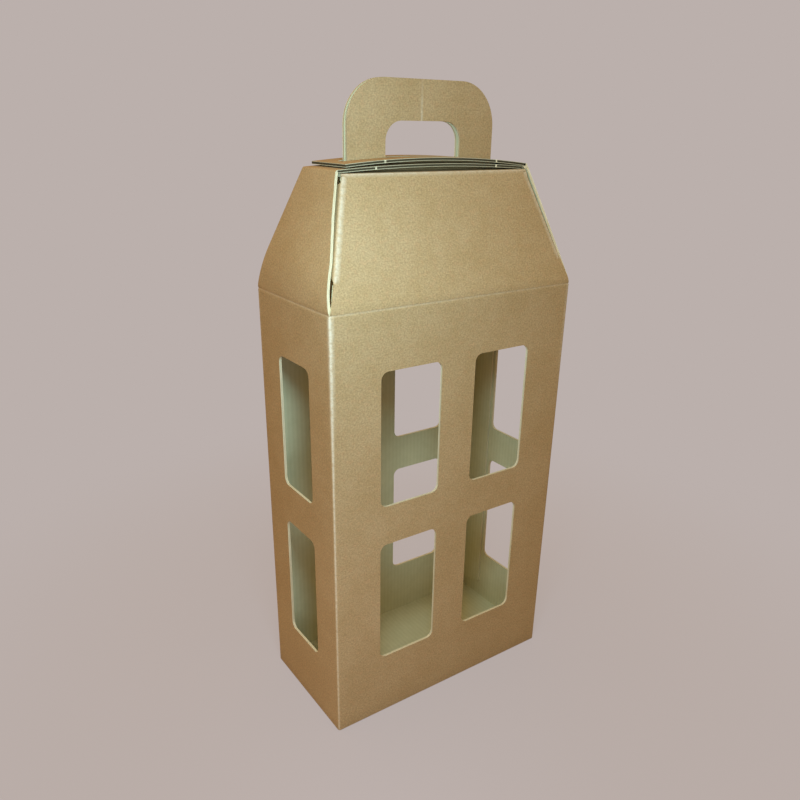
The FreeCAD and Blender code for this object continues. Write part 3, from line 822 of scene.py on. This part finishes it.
def make_bottom():
    """The snap-lock bottom: the front flap lowest, then the two end flaps, and the back flap on top."""
    half_width, half_depth = HALF_WIDTH - BOARD, HALF_DEPTH - BOARD
    half_gap = 0.2
    front_edge, front_taper = 7.0, 9
    tongue_foot, tongue_root = 22, 38
    back_edge = -19
    front = [(-half_width, -half_depth), (half_width, -half_depth), (half_width - front_taper, front_edge),
             (front_taper - half_width, front_edge)]
    side = [(half_gap, -half_depth), (half_width, -half_depth), (half_width, half_depth),
            (tongue_root, half_depth), (tongue_foot, front_edge), (half_gap, front_edge)]
    other_side = [(-across, along) for across, along in reversed(side)]
    back = [(-half_width, back_edge), (half_width, back_edge), (half_width, half_depth),
            (-half_width, half_depth)]
    return [make_bottom_flap("bottom_front_flap", front, 0.0),
            make_bottom_flap("bottom_right_flap", side, BOARD),
            make_bottom_flap("bottom_left_flap", other_side, BOARD),
            make_bottom_flap("bottom_back_flap", back, BOARD * 2)]


def make_top_flap():
    """The uppermost flap: it bows over the handle from the rolled crease on the right gable."""
    reach = swing_reach(*hinge)
    bow, half_turn, lift = bow_shape(reach + FLAP_END_BAND, TOP_FLAP_RISE, TOP_FLAP_TIP_LIFT)
    flap = Walk((hinge[0], hinge[1] + BOARD), 90 - half_turn - lift).turn(bow, half_turn * 2, 26)
    nicks = [flap.length_at(HALF_WIDTH + off) for off in TOP_FLAP_NICKS]
    outline = mirrored(flap_edge(GABLE_HALF_TOP, flap.lengths, nicks), 0)
    near = flap.length_at(HALF_WIDTH - HANDLE_HALF_WIDTH - SLOT_ROOT_CLEARANCE)
    far = flap.length_at(hinge[0] + reach)
    lines = [((-GABLE_HALF_TOP, length), (GABLE_HALF_TOP, length)) for length in flap.lengths + [FOLD_MARGIN]]

    def fold(across, along, share):
        side_view = flap.at(along, share * BOARD)
        return np.column_stack([HALF_WIDTH - side_view[:, 0], -across, side_view[:, 1]])

    # A faint painted highlight along the flap's root.
    def fold_highlight(across, along):
        return ridge_of(along, 1.6) * 0.3

    # Painted shade in the flap's open flutes, none on its torn stubs.
    def flute_shades(across, along):
        return np.where(np.abs(across) > GABLE_HALF_TOP + 0.2, 0.0, 1.0)

    places, triangles = cut_blank([outline, flap_slot(0, near, far)], lines)
    return board_mesh("slotted_top_flap", places, triangles, fold, fold_highlight, flute_shades)


def make_rolled_crease():
    """The rounded root of the top flap, seated along the top of the right gable."""
    crease = bmesh.new()
    turned = Matrix.Rotation(math.pi / 2, 4, "X")
    bmesh.ops.create_cone(crease, cap_ends=True, segments=40, radius1=BOARD, radius2=BOARD,
                          depth=GABLE_HALF_TOP * 2, matrix=turned)
    mesh = bpy.data.meshes.new("top_flap_crease")
    places = []
    crease.verts.ensure_lookup_table()
    for corner in crease.verts:
        round_axis = math.atan2(corner.co.x, corner.co.z)
        places.append((corner.co.y, -BOARD * abs(round_axis), 0.0))
        corner.co = (corner.co + Vector((HALF_WIDTH - hinge[0], 0, hinge[1]))) * MM
    slots = [EDGE if len(face.verts) > 4 else OUTSIDE for face in crease.faces]
    crease.to_mesh(mesh)
    # A faint painted fold highlight and a faint painted flute shade over the whole crease.
    slight = [0.15] * len(places)
    return paper_piece(mesh, places, slight, slight, slots)


def set_camera():
    """The photograph's view: from the front left and above, fitted to the corners of the carrier."""
    place = Vector((-277.65, -381.52, 378.97)) * MM
    turn, down, tilt = (math.radians(angle) for angle in (34.8469, 23.0947, 0.8897))
    ahead = Vector((math.sin(turn) * math.cos(down), math.cos(turn) * math.cos(down), -math.sin(down)))
    level = Vector((math.cos(turn), -math.sin(turn), 0))
    upward = level.cross(ahead)
    right = level * math.cos(tilt) + upward * math.sin(tilt)
    up = upward * math.cos(tilt) - level * math.sin(tilt)
    data = bpy.data.cameras.new("camera")
    data.lens = 33.303
    data.sensor_width = 36.0
    data.shift_y = 0.05
    data.clip_start = 0.01
    camera = bpy.data.objects.new("camera", data)
    camera.matrix_world = Matrix.Translation(place) @ Matrix((right, up, -ahead)).transposed().to_4x4()
    bpy.context.scene.collection.objects.link(camera)
    bpy.context.scene.camera = camera


def add_soft_light(name, place, target, size, power, tint):
    data = bpy.data.lights.new(name, "AREA")
    data.shape = "DISK"
    data.size = size
    data.energy = power
    data.color = tint
    lamp = bpy.data.objects.new(name, data)
    lamp.location = place
    lamp.rotation_euler = (Vector(target) - Vector(place)).to_track_quat("-Z", "Y").to_euler()
    bpy.context.scene.collection.objects.link(lamp)


BACKDROP = (0.497, 0.434, 0.413, 1.0)


def set_lights():
    """Soft warm air that is brighter overhead and on the left, and two lamps at the front left."""
    world = bpy.data.worlds.new("studio")
    bpy.context.scene.world = world
    world.use_nodes = True
    nodes = Nodes(world.node_tree)
    seen = nodes.add("ShaderNodeLightPath").outputs
    shown = nodes.maths("MAXIMUM", seen["Is Camera Ray"], seen["Is Transmission Ray"])
    facing = nodes.add("ShaderNodeTexCoord").outputs["Generated"]
    towards = nodes.add("ShaderNodeSeparateXYZ", {0: facing}).outputs
    air = nodes.mix(nodes.spread(towards[2], 0.0, 0.9), (0.22, 0.13, 0.06, 1.0), (1.24, 0.86, 0.51, 1.0))
    leftward = nodes.spread(towards[0], -1.0, 1.0, 1.15, 0.45)
    air = nodes.add("ShaderNodeVectorMath", {0: air, "Scale": leftward}, operation="SCALE").outputs[0]
    tone = nodes.mix(shown, air, BACKDROP)
    background = nodes.add("ShaderNodeBackground", {"Color": tone})
    nodes.add("ShaderNodeOutputWorld", {"Surface": background.outputs[0]})
    add_soft_light("key_light", (-0.155, -0.2, 0.39), (-0.01, 0, 0.27), 0.08, 0.94, (0.46, 0.71, 0.95))
    add_soft_light("low_light", (-0.16, -0.2, 0.12), (-0.03, 0, 0.08), 0.08, 0.16, (0.56, 0.68, 0.94))


def lay_floor():
    """A pale floor that blends into the backdrop and keeps a faint shadow of the carrier."""
    floor_mesh = bpy.data.meshes.new("floor")
    shape = bmesh.new()
    bmesh.ops.create_circle(shape, cap_ends=True, segments=96, radius=6.0)
    shape.to_mesh(floor_mesh)
    floor = bpy.data.objects.new("floor", floor_mesh)
    bpy.context.scene.collection.objects.link(floor)
    material, nodes = finish_material("pale_floor")
    place = nodes.add("ShaderNodeTexCoord").outputs["Object"]
    away = nodes.add("ShaderNodeVectorMath", {0: place}, operation="LENGTH").outputs["Value"]
    far = nodes.spread(away, 0.1, 0.5, 0.8, 1.0)
    paint = nodes.add("ShaderNodeBsdfDiffuse", {"Color": (0.46, 0.41, 0.39, 1.0)})
    glow = nodes.add("ShaderNodeEmission", {"Color": BACKDROP})
    camera_ray = nodes.add("ShaderNodeLightPath").outputs["Is Camera Ray"]
    share = nodes.maths("MULTIPLY", far, camera_ray)
    both = nodes.add("ShaderNodeMixShader", {0: share, 1: paint.outputs[0], 2: glow.outputs[0]})
    nodes.add("ShaderNodeOutputMaterial", {"Surface": both.outputs[0]})
    floor_mesh.materials.append(material)


set_camera()
bpy.context.scene.view_settings.view_transform = "Standard"
carton = make_folded_sheet()
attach(carton, "box")
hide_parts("carton")
for layer in make_bottom():
    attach(layer, "box")
for piece in (make_top_flap(), make_rolled_crease()):
    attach(piece, "flap")
    if piece.name == "slotted_top_flap":
        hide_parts("top_flap")
set_lights()
lay_floor()
